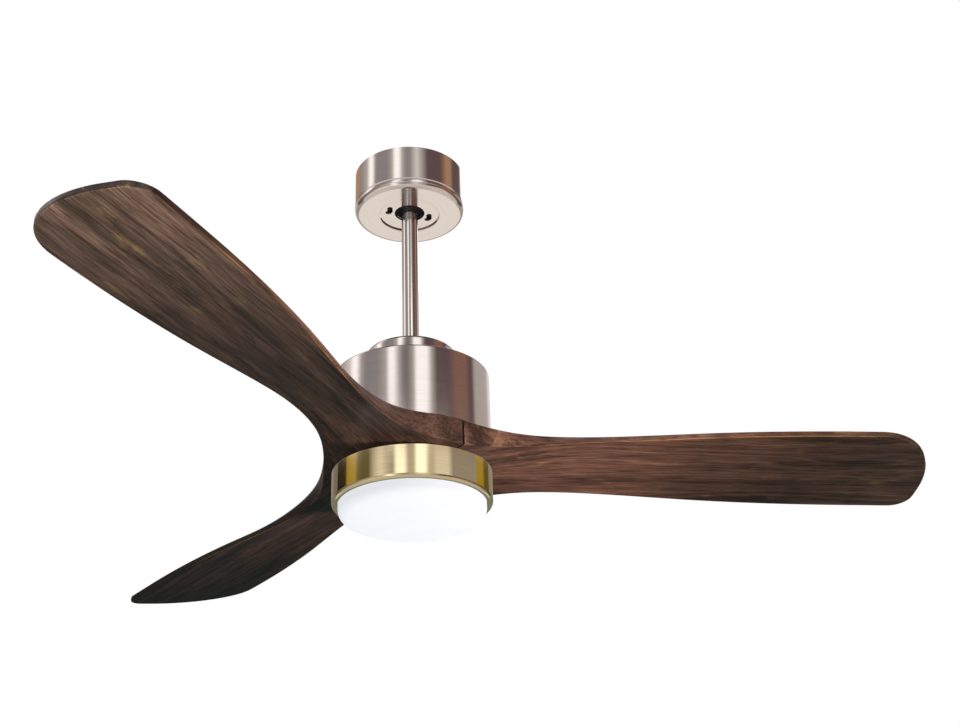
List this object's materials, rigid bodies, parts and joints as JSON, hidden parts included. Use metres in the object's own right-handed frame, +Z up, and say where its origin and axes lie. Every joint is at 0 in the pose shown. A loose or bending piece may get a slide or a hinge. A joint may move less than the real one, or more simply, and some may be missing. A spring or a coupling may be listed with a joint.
{
  "type": "ceiling fan with light",
  "caption": "Ceiling fan: twisted wooden blades under a drum motor, hung by a ball and downrod from a round canopy, with a round light and opal lens below.",
  "frame": {"origin": "on the ceiling plane, midway between the two ceiling screws, on the fan's axis", "axes": "+Z up out of the ceiling face, the first blade along +X at rest"},
  "size_m": [1.0528, 1.1766, 0.498],
  "materials": {
    "brushed_nickel": "brushed round the axis, satin nickel",
    "polished_nickel": "polished nickel",
    "brushed_brass": "brushed round the axis",
    "walnut": "dark stained walnut, satin lacquer",
    "opal_plastic": "opal white",
    "black_plastic": "moulded black",
    "white_plastic": "moulded white",
    "bracket_steel": "zinc plated",
    "fastener_steel": "zinc plated",
    "bearing_steel": "ground",
    "lamination_steel": "stacked sheet",
    "copper_wire": "enamelled copper",
    "magnet_black": "sintered",
    "cast_aluminium": "die cast",
    "board_green": "solder mask",
    "led_phosphor": "phosphor",
    "lead_sheath": "sheathed lead"
  },
  "bodies": {
    "ceiling": {"hanger_bracket": "bracket_steel", "earth_screw": "fastener_steel", "terminal_block": "white_plastic", "canopy_shell": "brushed_nickel", "canopy_cover": "brushed_nickel", "canopy_screws": "fastener_steel"},
    "seat": {"ball_seat": "black_plastic"},
    "hanging": {"hanger_ball": "black_plastic", "ball_pin": "fastener_steel", "ball_set_screw": "fastener_steel", "downrod": "polished_nickel", "motor_leads": "lead_sheath", "yoke": "bracket_steel", "yoke_pin": "fastener_steel", "yoke_set_screws": "fastener_steel", "yoke_cover": "brushed_nickel", "motor_housing": "brushed_nickel", "flange_screws": "fastener_steel", "flange_nuts": "fastener_steel", "board_standoffs": "fastener_steel", "control_board": "board_green", "board_capacitors": "black_plastic", "board_connectors": "white_plastic", "motor_shaft": "bearing_steel", "stator_core": "lamination_steel", "stator_windings": "copper_wire", "bearing_inner_races": "bearing_steel", "bearing_nut": "fastener_steel", "light_plate": "bracket_steel", "light_nuts": "fastener_steel", "led_driver": "white_plastic", "led_standoffs": "fastener_steel", "led_board": "cast_aluminium", "led_chips": "led_phosphor", "lens_holder": "white_plastic", "light_ring": "brushed_brass", "light_ring_screws": "fastener_steel", "light_lead": "lead_sheath"},
    "rotor": {"rotor_magnets": "magnet_black", "rotor_case": "cast_aluminium", "rotor_cover": "cast_aluminium", "rotor_screws": "fastener_steel", "bearing_outer_races": "bearing_steel", "bearing_balls": "bearing_steel", "blade_1": "walnut", "blade_2": "walnut", "blade_3": "walnut", "blade_clamp": "bracket_steel", "blade_screws": "fastener_steel"},
    "lens": {"diffuser": "opal_plastic"}
  },
  "joints": [
    {"name": "seat_tilt", "type": "hinge", "parent": "ceiling", "child": "seat", "pos_m": [0, 0, -0.034], "axis": [1, 0, 0], "range_deg": [-9, 9]},
    {"name": "ball_tilt", "type": "hinge", "parent": "seat", "child": "hanging", "pos_m": [0, 0, -0.034], "axis": [0, 1, 0], "range_deg": [-9, 9]},
    {"name": "rotor_spin", "type": "hinge", "parent": "hanging", "child": "rotor", "pos_m": [0, 0, -0.4], "axis": [0, 0, 1], "continuous": true},
    {"name": "lens_twist", "type": "hinge", "parent": "hanging", "child": "lens", "pos_m": [0, 0, -0.47], "axis": [0, 0, 1], "range_deg": [0, 25]}
  ]
}
